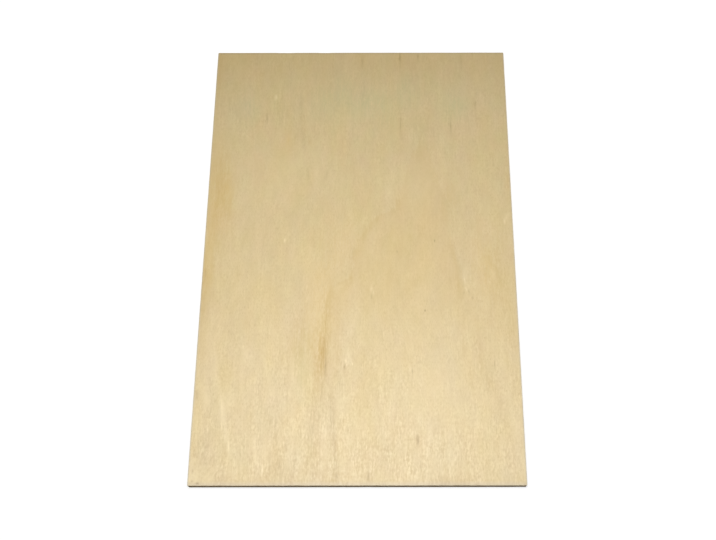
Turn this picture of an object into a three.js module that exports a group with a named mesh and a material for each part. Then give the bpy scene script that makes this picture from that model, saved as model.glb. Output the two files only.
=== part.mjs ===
// A sheet of plywood, sawn to 450 x 300 mm from 9 mm stock and lying flat.
//
// It is one piece: the veneers are glued and pressed into a single board, so the
// sheet is one solid. Millimetres, +Z up. The face grain and the length run along
// Y, the width along X, and the origin is at the middle of the underside.

import * as THREE from 'three';

// Driving dimensions, in millimetres
const LENGTH = 450; // along the face grain
const WIDTH = 300; // across the face grain
const THICKNESS = 9; // pressed and sanded board
const CORNER_RADIUS = 0.8; // sawn corners, knocked back by hand with fine paper
const ARRIS_RADIUS = 0.4; // the edge between a face and a sawn side, eased the same way

// How finely the two rounded forms are divided
const CORNER_STEPS = 6; // per quarter turn
const ARRIS_STEPS = 4; // per quarter turn

// The birch face, for anyone who opens the model as it is
const veneer = new THREE.MeshStandardMaterial({ color: 0xe6cfa1, roughness: 0.62, metalness: 0 });

// Plan of the sheet: a rectangle about the origin with its four corners rounded
function planOutline(width, length, radius) {
  const x = width / 2 - radius;
  const y = length / 2 - radius;
  const centres = [
    [x, -y],
    [x, y],
    [-x, y],
    [-x, -y],
  ];
  const outline = new THREE.Shape();
  centres.forEach(([cx, cy], corner) => {
    const start = (corner - 1) * (Math.PI / 2);
    outline.absarc(cx, cy, radius, start, start + Math.PI / 2, false);
  });
  outline.closePath();
  return outline;
}

// The plan is swept through the thickness, and a quarter round takes off the arris
// along both faces. The sides stay flat and square between the two rounds.
function sheetSolid() {
  const solid = new THREE.ExtrudeGeometry(planOutline(WIDTH, LENGTH, CORNER_RADIUS), {
    depth: THICKNESS - 2 * ARRIS_RADIUS,
    curveSegments: CORNER_STEPS / 2, // three.js cuts an arc into twice this many
    bevelEnabled: true,
    bevelThickness: ARRIS_RADIUS,
    bevelSize: ARRIS_RADIUS,
    bevelOffset: -ARRIS_RADIUS,
    bevelSegments: ARRIS_STEPS,
  });
  solid.translate(0, 0, ARRIS_RADIUS);
  return solid;
}

const sheet = new THREE.Mesh(sheetSolid(), veneer);
sheet.name = 'plywood_sheet';

const part = new THREE.Group();
part.add(sheet);

export default part;
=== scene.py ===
import math
import random

import bpy
from mathutils import Matrix, Vector, noise


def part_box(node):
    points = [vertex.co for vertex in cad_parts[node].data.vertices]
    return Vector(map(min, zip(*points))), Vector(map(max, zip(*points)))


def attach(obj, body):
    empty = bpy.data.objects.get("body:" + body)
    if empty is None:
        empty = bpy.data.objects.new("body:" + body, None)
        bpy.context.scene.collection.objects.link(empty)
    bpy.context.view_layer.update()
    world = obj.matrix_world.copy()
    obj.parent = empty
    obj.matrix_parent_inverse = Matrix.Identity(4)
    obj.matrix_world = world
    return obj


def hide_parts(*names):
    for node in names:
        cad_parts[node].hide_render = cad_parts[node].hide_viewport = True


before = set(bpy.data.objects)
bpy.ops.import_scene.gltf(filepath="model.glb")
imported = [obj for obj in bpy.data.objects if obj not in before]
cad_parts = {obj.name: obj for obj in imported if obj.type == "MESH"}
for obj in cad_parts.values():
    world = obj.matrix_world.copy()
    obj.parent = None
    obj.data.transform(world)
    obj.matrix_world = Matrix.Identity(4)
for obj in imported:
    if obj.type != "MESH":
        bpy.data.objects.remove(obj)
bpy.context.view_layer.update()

# --- The board -------------------------------------------------------------------------------
# Seven veneers of peeled birch, glued with the grain of each across the next, pressed into one
# flat sheet, sanded on both faces and sawn to size. Its arrises are eased by hand, so they vary
# a little and carry a few small chips. All of it is one closed mesh.
MM = 0.001
low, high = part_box("plywood_sheet")
half_width = (high.x - low.x) / 2
half_length = (high.y - low.y) / 2
thickness = high.z - low.z
corner_radius = 0.8 * MM      # of the outline's four corners
arris_radius = 0.4 * MM       # of the eased edges
arris_change = 0.35           # the most that it comes and goes, as a share of itself
arris_pace = 0.11             # how fast it does so, for each step round the rim
cell = 2.5 * MM               # between the mesh lines on the faces
corner_steps = 4              # to half a corner
arris_steps = 3
face_ply = 1.2 * MM           # the two outer veneers, thinned by sanding
core_plies = 5
core_ply = (thickness - 2 * face_ply) / core_plies
glue_groove = 0.07 * MM       # a glue line lies this far behind the wood beside it
groove_half = 0.14 * MM       # half the width of the groove that it lies in
saw_wave = 0.05 * MM          # how far the sawn plies stand in and out
saw_pace = (0.9, 2.3)         # how fast they do so, for each step along and each millimetre up
chip_count = 46
chip_depth = 0.3 * MM
chip_reach = (0.8, 2.6)       # least and most, to each side of its middle, in steps of the rim
chip_share = (0.3, 1.0)       # least and most, of the full depth
chips_above = 0.6             # the share of them that is in the upper arris
chip_inward = 0.5             # how far a chip cuts inward, as a share of its depth
chip_down = 0.8               # how far it cuts towards the middle of the edge, likewise
chip_foot = 0.5               # how much of it is left where the arris meets the edge
rng = random.Random(41)


def stations(half):
    """Mesh lines across the board: where each crosses the flat, and its reach into a corner."""
    flat = half - corner_radius
    count = round(2 * flat / cell)
    turn = [math.tan(math.pi / 4 * step / corner_steps) for step in range(1, corner_steps + 1)]
    lines = [(-flat, -reach) for reach in reversed(turn)]
    lines += [(flat * (2 * step / count - 1), 0.0) for step in range(count + 1)]
    lines += [(flat, reach) for reach in turn]
    return lines


across = stations(half_width)
along = stations(half_length)
last_i = len(across) - 1
last_j = len(along) - 1


def crossing(i, j, inset):
    """Where two mesh lines cross, on a rounded outline that lies this far inside the sawn one."""
    (x, turn_x), (y, turn_y) = across[i], along[j]
    turn = Vector((turn_x, turn_y))
    if turn.length:
        turn *= max(abs(turn_x), abs(turn_y)) / turn.length
    return Vector((x, y)) + turn * (corner_radius - inset)


# The rim runs round the board in four sides: near end, right, far end, left.
rim = [(i, 0) for i in range(last_i)]
rim += [(last_i, j) for j in range(last_j)]
rim += [(i, last_j) for i in range(last_i, 0, -1)]
rim += [(0, j) for j in range(last_j, 0, -1)]
side_starts = [0, last_i, last_i + last_j, 2 * last_i + last_j, len(rim)]

chips = []
for number in range(chip_count):
    middle = rng.randrange(len(rim))
    reach = rng.uniform(*chip_reach)
    share = rng.uniform(*chip_share)
    chips.append((middle, reach, share, rng.random() < chips_above))


def chip_at(step, on_top):
    """How deeply the arris is chipped at this step of the rim."""
    deepest = 0.0
    for middle, reach, share, top_chip in chips:
        away = abs((step - middle + len(rim) / 2) % len(rim) - len(rim) / 2)
        if top_chip == on_top and away < reach:
            deepest = max(deepest, share * (1 - (away / reach) ** 2))
    return chip_depth * deepest


def easing(step, on_top):
    """The radius of the arris here. Above and below, it comes and goes in different ways."""
    pattern_row = 3.7 if on_top else 9.1
    change = noise.noise(Vector((step * arris_pace, pattern_row, 0.0)))
    return arris_radius * (1.0 + arris_change * change)


def arris(step, on_top):
    """The arris at one step of the rim, from the face to the edge, as (inset, height) pairs."""
    radius = easing(step, on_top)
    chip = chip_at(step, on_top)
    turn = []
    for part in range(arris_steps + 1):
        angle = math.pi / 2 * part / arris_steps
        dent = chip * (1.0 if part < arris_steps else chip_foot)
        inset = radius * (1 - math.sin(angle)) + chip_inward * dent
        height = radius * (1 - math.cos(angle)) + chip_down * dent
        turn.append((inset, thickness - height if on_top else height))
    return turn


def section(step):
    """The sawn edge at one step of the rim, from underside to face, as (inset, height) pairs."""
    rows = arris(step, False)
    for joint in range(core_plies + 1):
        for offset, depth in ((-groove_half, 0.0), (0.0, glue_groove), (groove_half, 0.0)):
            height = face_ply + joint * core_ply + offset
            rough = noise.noise(Vector((step * saw_pace[0], height / MM * saw_pace[1], 5.0)))
            rows.append((depth + saw_wave * (0.5 + 0.5 * rough), height))
    return rows + arris(step, True)[::-1]


vertices = []
faces = []
materials = []
uvs = []
FACE, EDGE, BACK = range(3)

# A map of the board's own, laid out flat: the face, the underside and the four edges one above
# another, each as wide as the picture, so that its grain keeps most pixels across the fibres.
map_margin = 0.004
sheet_u = (map_margin, 1 - map_margin)
face_v = (0.462, 1 - map_margin)
back_v = (0.158, 0.454)
strip_height = 0.031
strip_gap = 0.0075


def spread(value, start, end):
    """A place between two ends of the map, for a value from 0 to 1."""
    return start + (end - start) * value


def map_of(point, rows):
    """A face point's place in the map."""
    u = spread((point.x + half_width) / (2 * half_width), *sheet_u)
    return u, spread((point.y + half_length) / (2 * half_length), *rows)


rings = []
for step, (i, j) in enumerate(rim):
    ring = []
    for inset, height in section(step):
        flat = crossing(i, j, inset)
        ring.append(len(vertices))
        vertices.append((flat.x, flat.y, low.z + height))
    rings.append(ring)

row_count = len(rings[0])
side = 0
for step in range(len(rim)):
    if step >= side_starts[side + 1]:
        side += 1
    first, last = side_starts[side], side_starts[side + 1]
    here, there = rings[step], rings[(step + 1) % len(rim)]
    u0 = spread((step - first) / (last - first), *sheet_u)
    u1 = spread((step + 1 - first) / (last - first), *sheet_u)
    bottom_v = map_margin + side * (strip_height + strip_gap)
    for row in range(row_count - 1):
        v0 = spread(row / (row_count - 1), bottom_v, bottom_v + strip_height)
        v1 = spread((row + 1) / (row_count - 1), bottom_v, bottom_v + strip_height)
        faces.append((here[row], there[row], there[row + 1], here[row + 1]))
        uvs.append(((u0, v0), (u1, v0), (u1, v1), (u0, v1)))
        if row < arris_steps:
            materials.append(BACK)
        elif row < row_count - 1 - arris_steps:
            materials.append(EDGE)
        else:
            materials.append(FACE)

for height, ring_row, skin, rows in ((thickness, -1, FACE, face_v), (0.0, 0, BACK, back_v)):
    on_rim = {place: ring[ring_row] for place, ring in zip(rim, rings)}
    grid = {}
    for i in range(last_i + 1):
        for j in range(last_j + 1):
            if (i, j) in on_rim:
                grid[i, j] = on_rim[i, j]
                continue
            flat = crossing(i, j, arris_radius)
            grid[i, j] = len(vertices)
            vertices.append((flat.x, flat.y, low.z + height))
    for i in range(last_i):
        for j in range(last_j):
            corners = [grid[i, j], grid[i + 1, j], grid[i + 1, j + 1], grid[i, j + 1]]
            if skin == BACK:
                corners.reverse()
            faces.append(tuple(corners))
            uvs.append([map_of(Vector(vertices[corner]), rows) for corner in corners])
            materials.append(skin)

board_mesh = bpy.data.meshes.new("plywood_board")
board_mesh.from_pydata(vertices, [], faces)
board_map = board_mesh.uv_layers.new(name="OFBake")
for polygon, skin, places in zip(board_mesh.polygons, materials, uvs):
    polygon.material_index = skin
    polygon.use_smooth = True
    for corner, uv in zip(polygon.loop_indices, places):
        board_map.data[corner].uv = uv
board_mesh.update()
board = bpy.data.objects.new("plywood_board", board_mesh)
bpy.context.scene.collection.objects.link(board)
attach(board, "root")
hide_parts("plywood_sheet")

# --- The face veneer -------------------------------------------------------------------------
# Birch peeled from a turning log, dried, sanded with fine grit and left bare. To the eye it is
# pale cream, with short fibres all along the sheet, a faint arch where the cut ran out of one
# year's wood, and one brown streak.


def linear(code):
    """A colour written as sRGB hex, in the linear values that a shader takes."""
    values = []
    for start in (1, 3, 5):
        value = int(code[start:start + 2], 16) / 255
        values.append(value / 12.92 if value <= 0.04045 else ((value + 0.055) / 1.055) ** 2.4)
    return (*values, 1.0)


def add_node(tree, kind, inputs=None, **settings):
    """Adds one node. The inputs are numbers, colours or other nodes' outputs, by name or place.

    By place, a Map Range takes a value, the two ends of its range and the results there. A Mix
    takes its share first, and then two vectors as 4 and 5 or two colours as 6 and 7.
    """
    node = tree.nodes.new(kind)
    for name, value in settings.items():
        setattr(node, name, value)
    for name, value in (inputs or {}).items():
        if isinstance(value, bpy.types.NodeSocket):
            tree.links.new(value, node.inputs[name])
        else:
            node.inputs[name].default_value = value
    return node


def new_material(name):
    """A material that has no nodes yet."""
    material = bpy.data.materials.new(name)
    material.use_nodes = True
    material.node_tree.nodes.clear()
    return material


def board_mm(tree):
    """Places on the board in millimetres, from the middle of its underside."""
    inputs = {0: add_node(tree, "ShaderNodeTexCoord").outputs["Object"], "Scale": 1 / MM}
    return add_node(tree, "ShaderNodeVectorMath", inputs, operation="SCALE").outputs[0]


def grain(tree, places, size, detail, roughness=0.5):
    """Noise whose lumps have this size in millimetres."""
    inputs = {0: places, 1: tuple(1 / value for value in size)}
    scaled = add_node(tree, "ShaderNodeVectorMath", inputs, operation="MULTIPLY").outputs[0]
    inputs = {"Vector": scaled, "Scale": 1.0, "Detail": detail, "Roughness": roughness}
    return add_node(tree, "ShaderNodeTexNoise", inputs).outputs[0]


def swaying(tree, places, size, reach, start, layer):
    """Places shifted across the sheet, as its fibres sway: by start, and by up to reach more.

    They are moved up by a layer too, so that each veneer has a pattern of its own. All of this
    is in millimetres.
    """
    inputs = {0: grain(tree, places, size, 1.0), 1: reach, 2: start}
    aside = add_node(tree, "ShaderNodeMath", inputs, operation="MULTIPLY_ADD").outputs[0]
    shift = add_node(tree, "ShaderNodeCombineXYZ", {"X": aside, "Z": layer}).outputs[0]
    return add_node(tree, "ShaderNodeVectorMath", {0: places, 1: shift}, operation="ADD").outputs[0]


def add_layer(tree, total, pattern, strength):
    """Adds a pattern that averages one half to a total, by this strength."""
    centred = add_node(tree, "ShaderNodeMath", {0: pattern, 1: 0.5}, operation="SUBTRACT").outputs[0]
    inputs = {0: centred, 1: strength, 2: total}
    return add_node(tree, "ShaderNodeMath", inputs, operation="MULTIPLY_ADD").outputs[0]


def finish_sanded(tree, colour, tone, nap, roughness, rougher):
    """Bare sanded birch: nearly matt, rougher where its tone is darker, with a nap of fibres."""
    inputs = {0: tone, 1: rougher, 2: roughness}
    matt = add_node(tree, "ShaderNodeMath", inputs, operation="MULTIPLY_ADD").outputs[0]
    inputs = {"Height": nap, "Strength": 0.4, "Distance": 0.05 * MM}
    relief = add_node(tree, "ShaderNodeBump", inputs).outputs[0]
    inputs = {"Base Color": colour, "Roughness": matt, "Normal": relief, "IOR": 1.5}
    bare = add_node(tree, "ShaderNodeBsdfPrincipled", inputs).outputs[0]
    add_node(tree, "ShaderNodeOutputMaterial", {"Surface": bare})


wood = new_material("sanded_birch_veneer")
tree = wood.node_tree
in_mm = board_mm(tree)
split = add_node(tree, "ShaderNodeSeparateXYZ", {0: in_mm})
x_mm = split.outputs["X"]
y_mm = split.outputs["Y"]
grain_mm = swaying(tree, in_mm, (90.0, 210.0, 1.0), 12.0, -6.0, 0.0)

# Real fibres are finer than these: they are drawn over a millimetre wide, as coarse as shows.
fibre = grain(tree, grain_mm, (1.2, 5.0, 4.0), 2.0)
tuft = grain(tree, grain_mm, (2.0, 3.0, 5.0), 2.0)
streak = grain(tree, grain_mm, (1.6, 22.0, 4.0), 2.0)
blotch = grain(tree, grain_mm, (5.0, 11.0, 6.0), 1.0)
flame = grain(tree, grain_mm, (12.0, 40.0, 12.0), 1.0)
cloud = grain(tree, grain_mm, (30.0, 70.0, 30.0), 1.0)
sanding = grain(tree, grain_mm, (8.0, 20.0, 8.0), 1.0)
rosiness = grain(tree, grain_mm, (15.0, 24.0, 15.0), 1.0)
honeying = grain(tree, grain_mm, (20.0, 46.0, 20.0), 2.0)
dashes = grain(tree, grain_mm, (0.4, 3.0, 1.5), 1.0)

# Towards both ends the fibres show more, most at the near end.
fibre_showing = 0.0
for start, end, at_start, at_end in ((-45.0, -225.0, 0.80, 1.88), (-10.0, 160.0, 0.0, 0.40)):
    inputs = {0: y_mm, 1: start, 2: end, 3: at_start, 4: at_end}
    share = add_node(tree, "ShaderNodeMapRange", inputs, interpolation_type="SMOOTHSTEP").outputs[0]
    fibre_showing = add_node(tree, "ShaderNodeMath", {0: fibre_showing, 1: share}, operation="ADD").outputs[0]
# Sanding has raised them in some patches and laid them flat in others.
raised = add_node(tree, "ShaderNodeMapRange", {0: sanding, 1: 0.3, 2: 0.7, 3: 0.4, 4: 1.6}).outputs[0]
fibre_showing = add_node(tree, "ShaderNodeMath", {0: fibre_showing, 1: raised}, operation="MULTIPLY").outputs[0]
fine = add_layer(tree, 0.0, fibre, 0.70)
fine = add_layer(tree, fine, tuft, 0.66)
fine = add_layer(tree, fine, streak, 0.50)
tone = add_node(tree, "ShaderNodeMath", {0: fine, 1: fibre_showing, 2: 0.43}, operation="MULTIPLY_ADD").outputs[0]
# The far half is more mottled than the near half.
mottle = add_node(tree, "ShaderNodeMapRange", {0: y_mm, 1: -90.0, 2: 60.0, 3: 0.50, 4: 0.76}).outputs[0]
tone = add_layer(tree, tone, blotch, mottle)
tone = add_layer(tree, tone, flame, 0.34)
tone = add_layer(tree, tone, cloud, 0.44)
# The pores are dark dashes, drawn a few times as wide as they are and seen only from close by.
pores = add_node(tree, "ShaderNodeMapRange", {0: dashes, 1: 0.56, 2: 0.74}).outputs[0]
tone = add_node(tree, "ShaderNodeMath", {0: pores, 1: 0.80, 2: tone}, operation="MULTIPLY_ADD").outputs[0]

# The arch has two legs. Each is a line through points: how far along the sheet, as a share of
# its length, and how far across it, in millimetres from the middle.
arch_left = [
    (0.0, -33), (0.30, -31), (0.41, -28), (0.44, -9), (0.52, -2), (0.575, 14), (0.60, 34),
    (0.66, 43), (0.72, 50), (0.765, 60), (1.0, 66),
]
arch_right = [
    (0.0, 150), (0.17, 134), (0.25, 121), (0.33, 113), (0.39, 103), (0.47, 95), (0.53, 89),
    (0.62, 84), (0.69, 75), (0.765, 66), (1.0, 60),
]
inputs = {0: y_mm, 1: -half_length / MM, 2: half_length / MM}
share_along = add_node(tree, "ShaderNodeMapRange", inputs).outputs[0]


def drawn_line(points):
    """A line down the sheet through such points, as its place across it in millimetres."""
    node = add_node(tree, "ShaderNodeFloatCurve", {"Value": share_along})
    curve = node.mapping.curves[0]
    width_mm = 2 * half_width / MM
    for number, (share, place) in enumerate(points):
        height = place / width_mm + 0.5
        if number < 2:
            curve.points[number].location = (share, height)
        else:
            curve.points.new(share, height)
    node.mapping.update()
    inputs = {0: node.outputs[0], 1: width_mm, 2: -width_mm / 2}
    return add_node(tree, "ShaderNodeMath", inputs, operation="MULTIPLY_ADD").outputs[0]


# The fibres make the arch's edges ragged. The wood is darker along both its legs and, from the
# middle of the sheet on, all over its inside.
drift = add_node(tree, "ShaderNodeMath", {0: fibre, 1: streak}, operation="ADD").outputs[0]
ragged_x = add_node(tree, "ShaderNodeMath", {0: drift, 1: 9.0, 2: x_mm}, operation="MULTIPLY_ADD").outputs[0]
ragged_x = add_node(tree, "ShaderNodeMath", {0: ragged_x, 1: 9.0}, operation="SUBTRACT").outputs[0]
inputs = {0: y_mm, 1: -90.0, 2: -15.0}
inside = add_node(tree, "ShaderNodeMapRange", inputs, interpolation_type="SMOOTHSTEP").outputs[0]
for line, inward in ((drawn_line(arch_left), 1), (drawn_line(arch_right), -1)):
    gap = add_node(tree, "ShaderNodeMath", {0: ragged_x, 1: line}, operation="SUBTRACT").outputs[0]
    inputs = {0: gap, 1: -2.0 * inward, 2: 3.0 * inward}
    within = add_node(tree, "ShaderNodeMapRange", inputs, interpolation_type="SMOOTHSTEP").outputs[0]
    inputs = {0: gap, 1: 18.0 * inward, 2: 3.0 * inward}
    by_line = add_node(tree, "ShaderNodeMapRange", inputs, interpolation_type="SMOOTHSTEP").outputs[0]
    leg = add_node(tree, "ShaderNodeMath", {0: within, 1: by_line}, operation="MULTIPLY").outputs[0]
    tone = add_node(tree, "ShaderNodeMath", {0: leg, 1: 0.13, 2: tone}, operation="MULTIPLY_ADD").outputs[0]
    inside = add_node(tree, "ShaderNodeMath", {0: inside, 1: within}, operation="MULTIPLY").outputs[0]
tone = add_node(tree, "ShaderNodeMath", {0: inside, 1: 0.12, 2: tone}, operation="MULTIPLY_ADD").outputs[0]

inputs = {0: tone, 6: linear("#E3CF9F"), 7: linear("#CAB283")}
colour = add_node(tree, "ShaderNodeMix", inputs, data_type="RGBA", clamp_factor=True).outputs[2]
# The hue wanders a little, between rosy and olive, most in the far half, and between ashen and
# honeyed. The wood inside the arch is more honeyed.
far_hues = add_node(tree, "ShaderNodeMapRange", {0: y_mm, 1: -60.0, 2: 120.0, 3: 0.10, 4: 0.27}).outputs[0]
for pattern, one, other, strength in (
    (rosiness, "#E1BF9B", "#CFC38D", far_hues),
    (honeying, "#D9C8AE", "#E0C88C", 0.19),
):
    share = add_node(tree, "ShaderNodeMapRange", {0: pattern, 1: 0.3, 2: 0.7}).outputs[0]
    inputs = {0: share, 6: linear(one), 7: linear(other)}
    hue = add_node(tree, "ShaderNodeMix", inputs, data_type="RGBA").outputs[2]
    inputs = {0: strength, 6: colour, 7: hue}
    colour = add_node(tree, "ShaderNodeMix", inputs, data_type="RGBA").outputs[2]
honey = add_node(tree, "ShaderNodeMath", {0: inside, 1: 0.19}, operation="MULTIPLY").outputs[0]
inputs = {0: honey, 6: colour, 7: linear("#DBBD82")}
colour = add_node(tree, "ShaderNodeMix", inputs, data_type="RGBA").outputs[2]

# Marks in the wood, in millimetres from the middle of the sheet: place across and along, half
# width, half length, lean to the left in degrees, and strength.
olive_marks = [
    # faint mineral stains across the far end, and one beside the brown streak
    (12, 170, 135, 52, 0, 0.11), (-114, 162, 19, 28, 0, 0.24), (-36, 163, 17, 26, 0, 0.20),
    (-18, 180, 16, 26, 0, 0.22), (4, 164, 22, 26, 0, 0.22), (24, 160, 16, 24, 0, 0.14),
    (47, 181, 17, 26, 0, 0.20), (98, 163, 17, 28, 0, 0.26), (24, 138, 16, 28, 0, 0.10),
    (-51, -112, 13, 46, 0, 0.20),
]
honey_marks = [
    # faint patches, most of them towards the sides
    (-140, 55, 22, 84, 0, 0.27), (-130, 62, 7, 34, 6, 0.20), (-148, -20, 10, 50, 0, 0.26),
    (-30, -34, 26, 70, 0, 0.20), (-12, 14, 22, 40, 0, 0.16), (128, -20, 30, 80, 0, 0.22),
    (92, 62, 15, 44, 0, 0.14), (-96, 92, 46, 44, 0, 0.12), (-72, 120, 8, 24, 0, 0.24),
    (-45, -90, 24, 60, 0, 0.14),
]
brown_marks = [
    # the brown streak: its heart, its halo, its long upper end and its faint tail
    (-33, -108, 5.5, 36, -2, 0.32), (-34, -106, 10, 54, -4, 0.34), (-36, -100, 16, 62, 0, 0.22),
    (-56, -104, 30, 62, 0, 0.20), (-38, -142, 9, 26, 0, 0.16), (-20, -106, 20, 54, 0, 0.19),
    (-30, -70, 8, 46, -3, 0.36), (-27, -40, 9, 40, 0, 0.10), (-53, -86, 14, 40, 0, 0.15),
    (-21, -185, 7, 52, 4, 0.11),
    # along the left leg of the arch, and then along its right leg
    (-8, -29, 6.5, 16, -4, 0.26), (-2, -5, 9, 26, -18, 0.10), (7, 19, 5.5, 21, -34, 0.16),
    (17, 32, 5.5, 11, -40, 0.16), (38, 55, 7, 18, -8, 0.10), (39, 49, 4.5, 13, 0, 0.20),
    (86, 60, 13, 36, 0, 0.18), (92, -6, 6.5, 28, 12, 0.20), (96, -38, 6.5, 28, 8, 0.20),
    (98, -97, 8, 62, 4, 0.15), (113, -92, 7, 60, 4, 0.12),
    # left of the arch, towards the far end
    (-51, 119, 4.5, 13, 18, 0.30), (-58, 140, 6, 30, 5, 0.12), (-63, 128, 10, 26, 0, 0.14),
    # towards the left side, and then towards the right side
    (-134, 62, 13, 80, 3, 0.25), (-138, 92, 5, 44, 2, 0.16), (-151, -52, 14, 72, 0, 0.20),
    (-149, -30, 15, 52, 0, 0.36), (-141, 50, 10, 120, 0, 0.20), (-148, 204, 12, 60, 0, 0.32),
    (-112, 224, 24, 18, 0, 0.22), (126, -20, 14, 38, 0, 0.12), (144, -84, 12, 44, 0, 0.13),
    (147, 74, 7, 40, 0, 0.26),
]
dark_marks = [
    # long flecks and soft shades towards the far end
    (-96, 144, 3.2, 20, 0, 0.20), (92, 137, 3, 19, 0, 0.22), (118, 163, 4, 16, -6, 0.17),
    (41, 216, 3.4, 24, 0, 0.30), (41, 144, 3.4, 26, 0, 0.18), (2, 214, 4.4, 28, 0, 0.18),
    (2, 169, 7, 34, 0, 0.09), (60, 220, 3.6, 14, 0, 0.22), (105, 214, 4.8, 28, 0, 0.13),
    (-73, 206, 4, 40, 0, 0.10), (-61, 163, 5.4, 44, 2, 0.11), (-82, 150, 15, 28, 0, 0.07),
    # the darkest of the brown streak, and the band that runs on from it to the near end
    (-30, -116, 2.4, 20, 0, 0.34), (-32, -100, 5, 34, -4, 0.12), (-16, -130, 9, 24, 0, 0.14),
    (-33, -142, 2.4, 22, 0, 0.10), (-24, -168, 7, 22, 0, 0.12), (-23, -156, 6, 34, 5, 0.16),
    (-20, -197, 6.5, 50, 3, 0.22), (-40, -178, 12, 66, 1, 0.13),
    # two lines left of the arch that run together, and a part of the arch's left leg
    (-52, 84, 3.2, 34, 16, 0.14), (-33, 82, 3.4, 26, -17, 0.13), (-57, 118, 5, 26, 6, 0.10),
    (-7, -4, 5, 18, -6, 0.09),
    # towards the sides and the near end
    (-147, -143, 4, 10, 0, 0.22), (-138, -196, 10, 28, 10, 0.11), (-66, -214, 60, 40, 0, 0.08),
    (77, -226, 34, 18, 0, 0.30), (137, -30, 18, 66, 0, 0.13), (-151, -52, 14, 72, 0, 0.10),
]
pale_marks = [
    # chips in the face, and fresh patches
    (-87, 171, 3, 6, 0, 0.62), (-72, 10, 2.4, 6, 0, 0.48), (144, 34, 5, 9, 0, 0.28),
    (75, 218, 8, 3, 0, 0.20), (12, -40, 2.6, 7, 0, 0.28), (56, -56, 9, 17, 0, 0.18),
    (-9, -106, 6, 15, 0, 0.25), (103, -30, 7, 26, 4, 0.18), (65, -180, 7, 16, 0, 0.17),
    # raised fibres towards the near end, most at the left
    (-103, -105, 6.5, 16, 0, 0.22), (-60, -124, 5.5, 32, 5, 0.19), (56, -167, 6, 18, 0, 0.18),
    (-124, -150, 5, 34, 10, 0.24), (-118, -178, 4.5, 28, 10, 0.26), (-92, -189, 4.4, 26, 5, 0.26),
    (-82, -195, 4, 24, 4, 0.22), (-29, -191, 7.5, 42, 0, 0.16), (-131, -219, 8, 13, 12, 0.24),
    (-131, -125, 6, 28, 8, 0.17), (-107, -130, 4.5, 28, 5, 0.14), (-123, -162, 7, 22, 6, 0.24),
    (-138, -146, 6, 24, 8, 0.24), (-147, -205, 4, 9, 0, 0.26), (-60, -203, 8, 18, 4, 0.16),
    (-118, -150, 13, 28, 8, 0.18), (-144, -135, 7, 16, 0, 0.16), (108, -169, 8, 20, 0, 0.17),
    # broad pale bands
    (72, -138, 60, 90, 0, 0.15), (-80, 90, 100, 70, 0, 0.15), (60, 74, 100, 45, 0, 0.12),
    (-138, -96, 14, 54, 0, 0.12), (-140, 112, 14, 56, 0, 0.11),
    # pale wood beside the dark lines
    (-43, 82, 8.5, 26, 0, 0.16), (29, 62, 7, 17, 0, 0.10), (3, 30, 5, 16, -32, 0.13),
    (34, 12, 6, 10, 0, 0.12), (-18, -38, 5, 14, -52, 0.16), (128, -24, 6, 22, 16, 0.20),
    # the two near corners
    (150, -205, 20, 40, 0, 0.20), (144, -172, 12, 32, 0, 0.28), (-147, -219, 17, 23, 0, 0.56),
]
# Torn fibres: dark slits under two millimetres wide, painted shade where a lifted fibre shadows its
# slit, some with a pale flake beside them.
slit_shadows = [
    # over the face, and then towards the far end
    (54, -185, 2.2, 9, 0, 0.66), (-12.5, -117, 1.5, 5, 0, 0.50), (-12.5, -126, 1.4, 6, 0, 0.20),
    (50, -121, 1.4, 6, 0, 0.42), (62.5, -62, 1.6, 2.5, 0, 0.60), (73, 9.5, 1.6, 3, 0, 0.74),
    (36.5, -2, 1.5, 3, 0, 0.40), (126, -115, 1.5, 5, 0, 0.44), (12, -48, 1.5, 5, 0, 0.32),
    (105, -43, 1.6, 6, 10, 0.24), (100, -44, 1.5, 4, 0, 0.30), (108, -49, 1.5, 4, 0, 0.30),
    (-147, -24, 1.8, 10, 0, 0.22), (41, 220, 1.6, 16, 0, 0.52), (60, 221, 1.5, 6, 0, 0.44),
    (92, 136, 1.6, 13, 0, 0.30), (-95, 145, 1.5, 10, 0, 0.24), (-71, 219, 1.5, 9, 0, 0.22),
    (41, 138, 1.5, 20, 0, 0.20), (105, 213, 1.5, 16, 0, 0.22), (118, 163, 1.5, 8, -6, 0.26),
    (2, 216, 1.5, 16, 0, 0.24),
    # close to the near end
    (-69, -207, 1.5, 6, 0, 0.22), (-21.5, -184, 1.5, 12, 0, 0.22), (10, -217, 1.6, 9, 0, 0.48),
    (-18, -217, 1.6, 5, 0, 0.34), (-8.5, -223, 1.8, 3, 0, 0.60), (-146, -212, 1.8, 5, 0, 0.40),
    (-146, -221, 1.8, 3, 0, 0.44), (-141, -223, 3, 2.5, 0, 0.95), (23, -224, 2, 2, 0, 0.65),
    (-17.5, -224, 1.8, 1.8, 0, 0.50), (66, -224, 1.8, 1.8, 0, 0.50), (75, -224, 1.8, 1.8, 0, 0.50),
    (94, -224, 1.8, 1.8, 0, 0.40),
]
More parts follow.
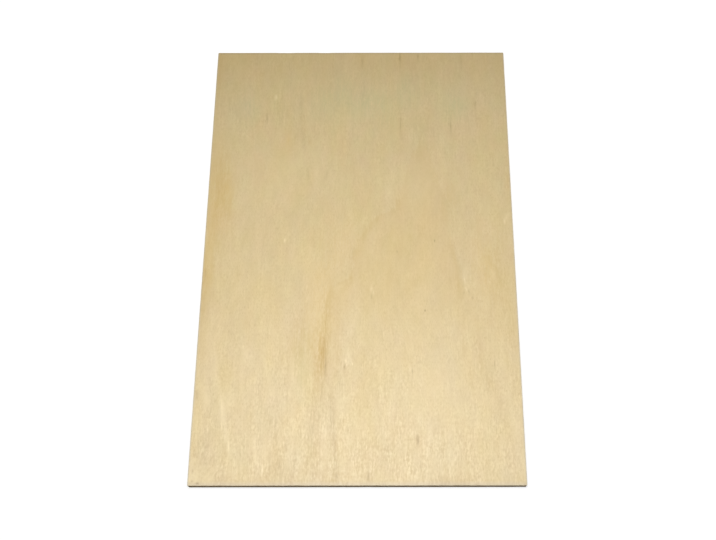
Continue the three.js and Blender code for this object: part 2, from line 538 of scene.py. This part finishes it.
flakes = [
    # beside or close to slits
    (-11.5, -111, 1.8, 4, 0, 0.80), (-10.5, -115, 1.5, 2, 0, 0.60), (-5.5, -114, 1.5, 4, 0, 0.50),
    (47.5, -119, 1.5, 6, 0, 0.30), (53, -121, 1.4, 4, 0, 0.26), (14, -44, 1.4, 5, 0, 0.30),
    (101, -31, 1.6, 8, 4, 0.40), (102, -40, 1.8, 5, 20, 0.34), (59, -188, 1.5, 8, 0, 0.34),
    (-29, -178, 1.5, 10, 0, 0.34),
    # by themselves, most of them at the near left
    (112.5, -117, 1.6, 5, 0, 0.56), (142, 30, 2, 6, 0, 0.46), (-115.5, -191, 1.6, 11, 4, 0.50),
    (-122.5, -172, 1.6, 9, 4, 0.50), (-119, -182, 1.5, 7, 4, 0.36), (-88, -206, 1.6, 10, 2, 0.44),
    (-84, -211, 1.5, 8, 0, 0.34), (-107, -213, 1.6, 5, 0, 0.40), (-139, -194, 1.6, 5, 0, 0.46),
    (76, -214, 1.8, 5, 0, 0.40), (-107, -98, 1.6, 6, 0, 0.34), (-135, -175, 1.6, 6, 4, 0.44),
    (-140, -198, 1.6, 5, 0, 0.44), (-134.5, -223, 1.6, 3, 0, 0.50), (-122, -223, 1.6, 3, 0, 0.50),
    (-84.5, -213, 1.5, 12, 0, 0.42), (-32, -196, 1.6, 8, 0, 0.30), (84.5, -206, 1.6, 5, 0, 0.34),
]
# The fibres make the rims of the marks ragged too, though less than the arch.
ragged = add_node(tree, "ShaderNodeCombineXYZ", {"X": ragged_x, "Y": y_mm}).outputs[0]
inputs = {0: 0.22, 4: in_mm, 5: ragged}
ragged_mm = add_node(tree, "ShaderNodeMix", inputs, data_type="VECTOR").outputs[1]
# They also break up a stain. A slit or a flake is a fibre itself, and stays whole.
broken = add_node(tree, "ShaderNodeMapRange", {0: drift, 1: 0.4, 2: 1.6, 4: 2.0}).outputs[0]
# This brown serves the real dark flecks and also the painted shade in the slits.
fleck_and_shade_brown = "#8E6F42"
fresh_pale = "#FAE8BE"
half_d = 1000                 # half depth: so much that a mark goes right through the veneer
for marks, tint, fall, is_stain in (
    (olive_marks, "#C3C69A", "SPHERICAL", True),
    (honey_marks, "#DDB96E", "SPHERICAL", True),
    (brown_marks, "#C2A05A", "QUADRATIC_SPHERE", True),
    (dark_marks, fleck_and_shade_brown, "QUADRATIC_SPHERE", True),
    (pale_marks, fresh_pale, "QUADRATIC_SPHERE", True),
    # The slits' dark brown is painted shade in the torn fibres.
    (slit_shadows, fleck_and_shade_brown, "QUADRATIC_SPHERE", False),
    (flakes, fresh_pale, "QUADRATIC_SPHERE", False),
):
    depth = 0.0
    for x, y, half_w, half_l, lean, strength in marks:
        place = add_node(tree, "ShaderNodeMapping", {
            "Vector": ragged_mm, "Location": (x, y, 0), "Rotation": (0, 0, math.radians(lean)),
            "Scale": (half_w, half_l, half_d),
        }, vector_type="TEXTURE")
        spot = add_node(tree, "ShaderNodeTexGradient", {0: place.outputs[0]}, gradient_type=fall)
        inputs = {0: spot.outputs["Fac"], 1: strength, 2: depth}
        depth = add_node(tree, "ShaderNodeMath", inputs, operation="MULTIPLY_ADD").outputs[0]
    if is_stain:
        depth = add_node(tree, "ShaderNodeMath", {0: depth, 1: broken}, operation="MULTIPLY").outputs[0]
    inputs = {0: depth, 6: colour, 7: linear(tint)}
    colour = add_node(tree, "ShaderNodeMix", inputs, data_type="RGBA", clamp_factor=True).outputs[2]

# Painted shade: the sheet is drawn a little darker and browner along its margins, most at the far
# end and on the left, where the light falls off towards its rims. The last four rows are the
# arrises: the far and side ones are painted greyer and darker, as painted shade where they turn
# away from the lamps, and the near one is paler, partly worn and partly a painted highlight where
# it faces the key lamp.
left_margin_shade = add_node(tree, "ShaderNodeMapRange", {0: y_mm, 1: -150.0, 2: 90.0, 3: 0.09, 4: 0.26}).outputs[0]
for axis_mm, outer, inward, tint, strength in (
    (x_mm, -half_width, 22 * MM, "#CFB277", left_margin_shade),
    (x_mm, half_width, -14 * MM, "#CFB277", 0.05),
    (y_mm, half_length, -66 * MM, "#C6A970", 0.27),
    (y_mm, -half_length, 17 * MM, "#C2AB7C", 0.13),
    (x_mm, -half_width, 2.2 * MM, "#B4B3A8", 0.40),
    (x_mm, half_width, -2.2 * MM, "#B4B3A8", 0.34),
    (y_mm, half_length, -3.0 * MM, "#9C9484", 0.45),
    (y_mm, -half_length, 4.5 * MM, "#C9BDA6", 0.55),
):
    inputs = {0: axis_mm, 1: (outer + inward) / MM, 2: outer / MM, 4: strength}
    by_rim = add_node(tree, "ShaderNodeMapRange", inputs, interpolation_type="SMOOTHSTEP").outputs[0]
    inputs = {0: by_rim, 6: colour, 7: linear(tint)}
    colour = add_node(tree, "ShaderNodeMix", inputs, data_type="RGBA").outputs[2]
# The far half is painted a shade yellower than the near half: painted light, standing in for the
# sheen of the key lamp, which pales the near half.
inputs = {0: y_mm, 1: -170.0, 2: 170.0, 4: 0.17}
painted_sheen_fade = add_node(tree, "ShaderNodeMapRange", inputs, interpolation_type="SMOOTHSTEP").outputs[0]
inputs = {0: painted_sheen_fade, 6: colour, 7: linear("#CBB370")}
colour = add_node(tree, "ShaderNodeMix", inputs, data_type="RGBA").outputs[2]
finish_sanded(tree, colour, tone, drift, 0.47, 0.10)

# --- The sawn edges --------------------------------------------------------------------------
# Seven plies cut square by a fine saw: along a ply's fibres the cut is smooth and pale, across
# them it is darker, open and checked by the peeling knife. The glue shows as thin brown lines.
edge = new_material("sawn_birch_plies")
tree = edge.node_tree
split = add_node(tree, "ShaderNodeSeparateXYZ", {0: board_mm(tree)})
up_mm = split.outputs["Z"]
inputs = {0: split.outputs["X"], 1: split.outputs["Y"]}
run_mm = add_node(tree, "ShaderNodeMath", inputs, operation="ADD").outputs[0]
run_up = add_node(tree, "ShaderNodeCombineXYZ", {"X": run_mm, "Y": up_mm}).outputs[0]

# The plies wander a little in thickness, as pressed veneers do. A place among them is counted
# in core plies from the first glue line, so its whole part says which ply it is in.
wander_mm = 0.36
inputs = {0: grain(tree, run_up, (30.0, 3.0, 1.0), 1.0), 1: wander_mm, 2: up_mm}
up_wavy = add_node(tree, "ShaderNodeMath", inputs, operation="MULTIPLY_ADD").outputs[0]
first_line = face_ply / MM + wander_mm / 2
inputs = {0: up_wavy, 1: first_line, 2: first_line + core_ply / MM}
ply_place = add_node(tree, "ShaderNodeMapRange", inputs, clamp=False).outputs[0]
ply = add_node(tree, "ShaderNodeMath", {0: ply_place}, operation="FLOOR").outputs[0]

# Every second ply is a crossband. Crossbands show end grain along the sides of the board, and
# the other plies show it at the two ends.
ply_half = add_node(tree, "ShaderNodeMath", {0: ply, 1: 0.5, 2: 0.5}, operation="MULTIPLY_ADD").outputs[0]
crossband = add_node(tree, "ShaderNodeMath", {0: ply_half}, operation="FRACT").outputs[0]
crossband = add_node(tree, "ShaderNodeMath", {0: crossband, 1: 0.25}, operation="GREATER_THAN").outputs[0]
normal = add_node(tree, "ShaderNodeTexCoord").outputs["Normal"]
facing = add_node(tree, "ShaderNodeSeparateXYZ", {0: normal}).outputs["Y"]
at_end = add_node(tree, "ShaderNodeMath", {0: facing}, operation="ABSOLUTE").outputs[0]
at_end = add_node(tree, "ShaderNodeMath", {0: at_end, 1: 0.7}, operation="GREATER_THAN").outputs[0]
end_grain = add_node(tree, "ShaderNodeMath", {0: at_end, 1: crossband}, operation="SUBTRACT").outputs[0]
end_grain = add_node(tree, "ShaderNodeMath", {0: end_grain}, operation="ABSOLUTE").outputs[0]

# Real pores and saw lines are finer than these: they are drawn at a few tenths of a millimetre.
fine_pores = grain(tree, run_up, (0.28, 0.22, 1.0), 2.0, 0.7)
checks = grain(tree, run_up, (0.5, 2.4, 1.0), 1.0)
long_fibres = grain(tree, run_up, (9.0, 0.3, 1.0), 3.0, 0.6)
patches = grain(tree, run_up, (22.0, 1.2, 1.0), 1.0)
saw_lines = grain(tree, run_up, (0.35, 7.0, 1.0), 1.0)
long_tone = add_node(tree, "ShaderNodeMapRange", {0: long_fibres, 1: 0.3, 2: 0.7}).outputs[0]
inputs = {0: long_tone, 6: linear("#E9D5AC"), 7: linear("#CDB07C")}
long_wood = add_node(tree, "ShaderNodeMix", inputs, data_type="RGBA").outputs[2]
end_tone = add_node(tree, "ShaderNodeMath", {0: fine_pores, 1: checks}, operation="ADD").outputs[0]
end_tone = add_node(tree, "ShaderNodeMapRange", {0: end_tone, 1: 0.75, 2: 1.25}).outputs[0]
# End grain is darker than long grain, and its colours are painted a shade darker still: painted shade for
# the near edge, which the lamps hardly light.
inputs = {0: end_tone, 6: linear("#9A764A"), 7: linear("#C6A879")}
end_wood_and_shade = add_node(tree, "ShaderNodeMix", inputs, data_type="RGBA").outputs[2]
inputs = {0: end_grain, 6: long_wood, 7: end_wood_and_shade}
plies = add_node(tree, "ShaderNodeMix", inputs, data_type="RGBA").outputs[2]
patch_tone = add_node(tree, "ShaderNodeMapRange", {0: patches, 1: 0.35, 2: 0.75, 4: 0.4}).outputs[0]
inputs = {0: patch_tone, 6: plies, 7: linear("#B8935E")}
plies = add_node(tree, "ShaderNodeMix", inputs, data_type="RGBA").outputs[2]

# A glue line is under a tenth of a millimetre thick: it is drawn at twice that, to show.
to_line = add_node(tree, "ShaderNodeMath", {0: ply_place}, operation="ROUND").outputs[0]
to_line = add_node(tree, "ShaderNodeMath", {0: ply_place, 1: to_line}, operation="SUBTRACT").outputs[0]
to_line = add_node(tree, "ShaderNodeMath", {0: to_line}, operation="ABSOLUTE").outputs[0]
glue = add_node(tree, "ShaderNodeMapRange", {0: to_line, 1: 0.11, 2: 0.04, 4: 0.75}).outputs[0]
inputs = {0: glue, 6: plies, 7: linear("#7A5A36")}
edge_colour = add_node(tree, "ShaderNodeMix", inputs, data_type="RGBA").outputs[2]
inputs = {0: fine_pores, 1: end_grain, 2: saw_lines}
edge_height = add_node(tree, "ShaderNodeMath", inputs, operation="MULTIPLY_ADD").outputs[0]
inputs = {"Height": edge_height, "Strength": 0.5, "Distance": 0.08 * MM}
edge_relief = add_node(tree, "ShaderNodeBump", inputs).outputs[0]
# Sawn wood is open, so it is duller than the sanded faces, most of all its end grain.
edge_matt = add_node(tree, "ShaderNodeMapRange", {0: end_grain, 3: 0.62, 4: 0.8}).outputs[0]
sawn_wood = add_node(tree, "ShaderNodeBsdfPrincipled", {
    "Base Color": edge_colour, "Roughness": edge_matt, "Normal": edge_relief, "IOR": 1.5,
    "Specular IOR Level": 0.12,
})
add_node(tree, "ShaderNodeOutputMaterial", {"Surface": sawn_wood.outputs[0]})

# --- The back veneer -------------------------------------------------------------------------
# The same birch in a plainer grade: sanded bare, a shade greyer, with broader bands and a few
# darker mineral streaks.
back = new_material("back_birch_veneer")
tree = back.node_tree
grain_mm = swaying(tree, board_mm(tree), (110.0, 260.0, 1.0), 14.0, 0.0, 70.0)
fibre = grain(tree, grain_mm, (0.9, 3.4, 4.0), 2.0, 0.6)
streak = grain(tree, grain_mm, (1.3, 24.0, 4.0), 2.0)
band = grain(tree, grain_mm, (9.0, 160.0, 9.0), 2.0)
mineral = grain(tree, grain_mm, (4.0, 70.0, 5.0), 2.0)
tone = add_layer(tree, 0.5, fibre, 0.55)
tone = add_layer(tree, tone, streak, 0.6)
tone = add_layer(tree, tone, band, 0.7)
inputs = {0: tone, 6: linear("#DFCDA3"), 7: linear("#C4AF80")}
colour = add_node(tree, "ShaderNodeMix", inputs, data_type="RGBA").outputs[2]
mineral_tone = add_node(tree, "ShaderNodeMapRange", {0: mineral, 1: 0.66, 2: 0.85, 4: 0.5}).outputs[0]
inputs = {0: mineral_tone, 6: colour, 7: linear("#A98C5E")}
colour = add_node(tree, "ShaderNodeMix", inputs, data_type="RGBA").outputs[2]
nap = add_node(tree, "ShaderNodeMath", {0: fibre, 1: streak}, operation="ADD").outputs[0]
finish_sanded(tree, colour, tone, nap, 0.52, 0.12)

for skin in (wood, edge, back):
    board_mesh.materials.append(skin)

# --- The studio ------------------------------------------------------------------------------
# A white table top under one soft lamp near the camera and a broad, even ceiling light. Two
# more lamps far behind graze the board, and the air around it is all but dark.
floor_reach = 40.0
floor_mesh = bpy.data.meshes.new("table_top")
floor_mesh.from_pydata([
    (-floor_reach, -floor_reach, 0), (floor_reach, -floor_reach, 0),
    (floor_reach, floor_reach, 0), (-floor_reach, floor_reach, 0),
], [], [(0, 1, 2, 3)])
floor = bpy.data.objects.new("table_top", floor_mesh)
floor.location.z = low.z - 0.05 * MM
bpy.context.scene.collection.objects.link(floor)


def seen_rays(tree):
    """1 for rays that show the background itself: straight, mirrored or through glass."""
    path = add_node(tree, "ShaderNodeLightPath").outputs
    inputs = {0: path["Is Camera Ray"], 1: path["Is Glossy Ray"]}
    either = add_node(tree, "ShaderNodeMath", inputs, operation="MAXIMUM").outputs[0]
    inputs = {0: either, 1: path["Is Transmission Ray"]}
    return add_node(tree, "ShaderNodeMath", inputs, operation="MAXIMUM").outputs[0]


# Where it is seen, the paper is lit from below to a full white, less so under the key lamp, which
# lights it best. The board's shadow still shows, and its edges get little light from the paper.
key_place = (-0.002, -0.177, 0.77)
paper = new_material("white_paper")
tree = paper.node_tree
paper_place = add_node(tree, "ShaderNodeTexCoord").outputs["Object"]
inputs = {0: paper_place, 1: (key_place[0], key_place[1], 0.0)}
from_key = add_node(tree, "ShaderNodeVectorMath", inputs, operation="DISTANCE").outputs["Value"]
glow = add_node(tree, "ShaderNodeMapRange", {0: from_key, 1: 0.1, 2: 0.9, 3: 0.72, 4: 1.0}).outputs[0]
white = add_node(tree, "ShaderNodeEmission", {"Color": linear("#FFFFFF"), "Strength": glow})
top_side = add_node(tree, "ShaderNodeBsdfDiffuse", {"Color": linear("#9A9A98")})
lit = add_node(tree, "ShaderNodeAddShader", {0: top_side.outputs[0], 1: white.outputs[0]})
unlit = add_node(tree, "ShaderNodeBsdfDiffuse", {"Color": linear("#5E5E5C")})
inputs = {0: seen_rays(tree), 1: unlit.outputs[0], 2: lit.outputs[0]}
shown = add_node(tree, "ShaderNodeMixShader", inputs)
add_node(tree, "ShaderNodeOutputMaterial", {"Surface": shown.outputs[0]})
floor_mesh.materials.append(paper)

world = bpy.data.worlds.new("studio_air")
bpy.context.scene.world = world
world.use_nodes = True
tree = world.node_tree
tree.nodes.clear()
dim = add_node(tree, "ShaderNodeBackground", {"Color": linear("#FFFFFF"), "Strength": 0.035})
bright = add_node(tree, "ShaderNodeBackground", {"Color": linear("#FFFFFF"), "Strength": 1.0})
inputs = {0: seen_rays(tree), 1: dim.outputs[0], 2: bright.outputs[0]}
air = add_node(tree, "ShaderNodeMixShader", inputs)
add_node(tree, "ShaderNodeOutputWorld", {"Surface": air.outputs[0]})


def soft_lamp(name, place, size, power, target=None):
    """A square lamp that faces straight down, or one that faces a target and gives no glare."""
    lamp = bpy.data.lights.new(name, "AREA")
    lamp.shape = "SQUARE"
    lamp.size = size
    lamp.energy = power
    holder = bpy.data.objects.new(name, lamp)
    holder.location = place
    holder.visible_camera = False
    if target:
        holder.visible_glossy = False
        holder.rotation_euler = (Vector(target) - Vector(place)).to_track_quat("-Z", "Y").to_euler()
    bpy.context.scene.collection.objects.link(holder)


soft_lamp("key_softbox", key_place, 0.28, 5.94)
soft_lamp("ceiling_light", (0.0, 0.0, 1.7), 1.8, 0.2)
# These stand low and two metres off, so they light the far and side edges, which the key lamp
# misses, and only graze the face.
for side_name, side_x in (("left", -1.7), ("right", 1.7)):
    soft_lamp(side_name + "_back_light", (side_x, 1.0, 0.13), 0.22, 16.0, (0.0, 0.0, 0.0))

# The camera stands beyond the near end and looks steeply down at the sheet.
camera_data = bpy.data.cameras.new("camera")
camera_data.sensor_width = 36.0
camera_data.lens = 48.02
camera_data.shift_x = -0.0348
camera = bpy.data.objects.new("camera", camera_data)
camera_place = Vector((22.93, -355.16, thickness / MM + 852.78)) * MM
tilt = math.radians(90 - 68.597)
roll = math.radians(-0.073)
camera.matrix_world = (
    Matrix.Translation(camera_place) @ Matrix.Rotation(tilt, 4, "X") @ Matrix.Rotation(roll, 4, "Z")
)
bpy.context.scene.collection.objects.link(camera)
bpy.context.scene.camera = camera
bpy.context.scene.view_settings.view_transform = "Standard"
